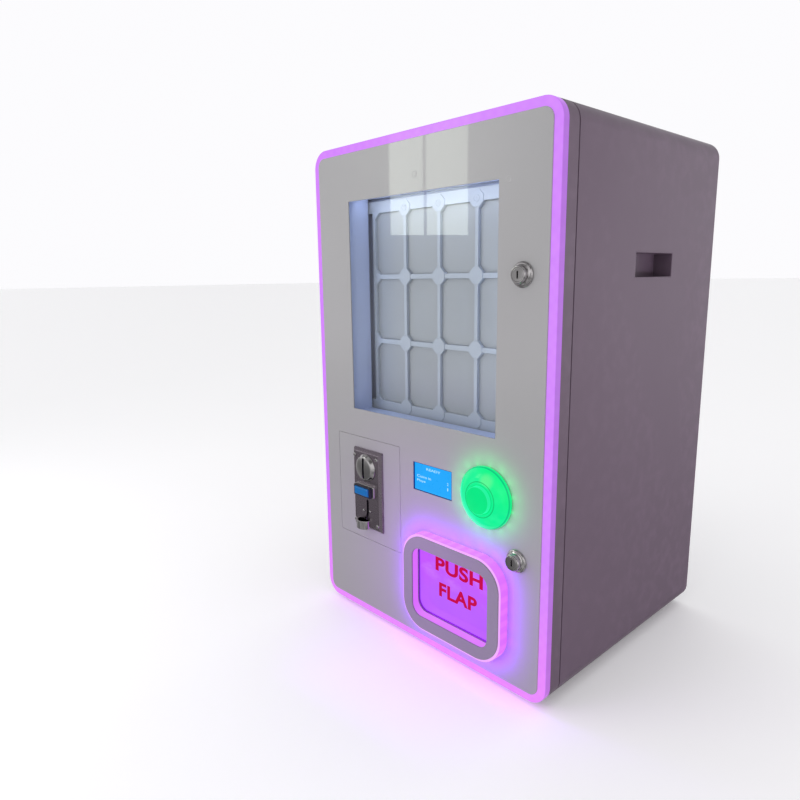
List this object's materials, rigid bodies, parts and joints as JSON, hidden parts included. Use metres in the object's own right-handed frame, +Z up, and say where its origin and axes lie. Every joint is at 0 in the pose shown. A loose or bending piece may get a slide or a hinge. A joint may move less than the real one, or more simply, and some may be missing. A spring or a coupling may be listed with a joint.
{
  "type": "prize vending machine",
  "caption": "Counter-top coin-operated prize cabinet: lit-edge hinged door with display window, coin slot, push button, screen and flap outlet.",
  "frame": {"origin": "on the surface it stands on, centred under the machine's overall width and depth", "axes": "+Z up, +Y towards the back; the door faces -Y, +X is the viewer's right"},
  "size_m": [0.4523, 0.423, 0.728],
  "materials": {
    "cabinet_paint": "semi-gloss light grey enamel",
    "door_paint": "gloss light grey enamel with a slight orange peel",
    "galvanised_steel": "zinc-plated sheet",
    "chrome": "bright plated die casting",
    "edge_light": "milky acrylic, lit violet from inside",
    "outlet_light": "milky acrylic, lit violet from inside",
    "flap_acrylic": "translucent white acrylic, lit violet from behind",
    "button_glow": "translucent plastic, lit green",
    "reject_blue": "translucent blue plastic, lit dimly",
    "screen": "backlit blue liquid crystal display",
    "clear_glass": "clear flat glass",
    "display_white": "white satin moulded plastic",
    "reveal_white": "white satin paint",
    "grey_cover": "satin grey plastic",
    "black_plastic": "fine-grained black plastic",
    "rubber": "black moulded rubber",
    "circuit_board": "green solder mask with parts",
    "led_white": "frosted light bar, cool white",
    "motor_steel": "plated motor can and gearbox",
    "brass_gear": "machined brass",
    "rack_plastic": "white acetal"
  },
  "bodies": {
    "cabinet": {"cabinet_shell": "cabinet_paint", "rubber_feet": "rubber", "front_lip_frame": "galvanised_steel", "door_gasket": "rubber", "back_panel": "cabinet_paint", "back_panel_screws": "chrome", "handle_cup_left": "cabinet_paint", "handle_cup_right": "cabinet_paint", "prize_board": "display_white", "board_backing": "display_white", "display_backplate": "reveal_white", "display_led_bars": "led_white", "machine_shelf": "galvanised_steel", "prize_magazine": "galvanised_steel", "pusher_guide": "black_plastic", "pusher_motor": "motor_steel", "prize_chute": "galvanised_steel", "cash_box": "galvanised_steel", "power_supply": "galvanised_steel", "control_board": "circuit_board", "power_inlet": "black_plastic", "lock_strikes": "galvanised_steel", "hinge_cabinet_leaves": "cabinet_paint", "hinge_pins": "chrome"},
    "door": {"door_frame": "cabinet_paint", "edge_light_ring": "edge_light", "edge_led_strips": "led_white", "door_panel": "door_paint", "panel_studs": "galvanised_steel", "window_glass": "clear_glass", "window_reveal": "reveal_white", "coin_access_plate": "door_paint", "coin_faceplate": "chrome", "coin_entry": "chrome", "coin_return_cup": "chrome", "reject_bezel": "black_plastic", "coin_screws": "chrome", "coin_validator": "black_plastic", "coin_chute": "galvanised_steel", "lcd_module": "screen", "button_skirt": "button_glow", "button_collar": "button_glow", "button_nut": "black_plastic", "button_switch": "black_plastic", "prize_light_frame": "outlet_light", "prize_cover_plate": "grey_cover", "flap_brackets": "galvanised_steel", "flap_pin": "chrome", "lock_bodies": "chrome", "lock_nuts": "chrome", "hinge_door_leaves": "cabinet_paint"},
    "play_button": {"play_button": "button_glow"},
    "reject_button": {"reject_button": "reject_blue"},
    "prize_flap": {"prize_flap": "flap_acrylic"},
    "upper_lock": {"upper_lock_plug": "chrome", "upper_lock_cam": "galvanised_steel"},
    "lower_lock": {"lower_lock_plug": "chrome", "lower_lock_cam": "galvanised_steel"},
    "prize_pusher": {"prize_pusher": "rack_plastic"},
    "drive_pinion": {"drive_pinion": "brass_gear"}
  },
  "joints": [
    {"name": "door_hinge", "type": "hinge", "parent": "cabinet", "child": "door", "pos_m": [-0.2265, -0.16, 0.368], "axis": [0, 0, -1], "range_deg": [0, 105]},
    {"name": "play_button_press", "type": "slide", "parent": "door", "child": "play_button", "axis": [0, 1, 0], "range_m": [0, 0.003], "stiffness_N_per_m": 400, "springref_m": -0.001},
    {"name": "reject_button_press", "type": "slide", "parent": "door", "child": "reject_button", "axis": [0, 1, 0], "range_m": [0, 0.0025], "stiffness_N_per_m": 300, "springref_m": -0.001},
    {"name": "prize_flap_swing", "type": "hinge", "parent": "door", "child": "prize_flap", "pos_m": [0.073, -0.1875, 0.178], "axis": [1, 0, 0], "range_deg": [0, 70]},
    {"name": "upper_lock_turn", "type": "hinge", "parent": "door", "child": "upper_lock", "pos_m": [0.175, -0.191, 0.541], "axis": [0, 1, 0], "range_deg": [0, 90]},
    {"name": "lower_lock_turn", "type": "hinge", "parent": "door", "child": "lower_lock", "pos_m": [0.175, -0.191, 0.192], "axis": [0, 1, 0], "range_deg": [0, 90]},
    {"name": "prize_pusher_slide", "type": "slide", "parent": "cabinet", "child": "prize_pusher", "axis": [0, -1, 0], "range_m": [0, 0.09]},
    {"name": "drive_pinion_turn", "type": "hinge", "parent": "cabinet", "child": "drive_pinion", "pos_m": [0.073, 0.099, 0.241], "axis": [-1, 0, 0], "range_deg": [0, 430]}
  ],
  "couplings": [
    {"joint": "drive_pinion_turn", "follows": "prize_pusher_slide", "rad_per_m": 83.333}
  ]
}
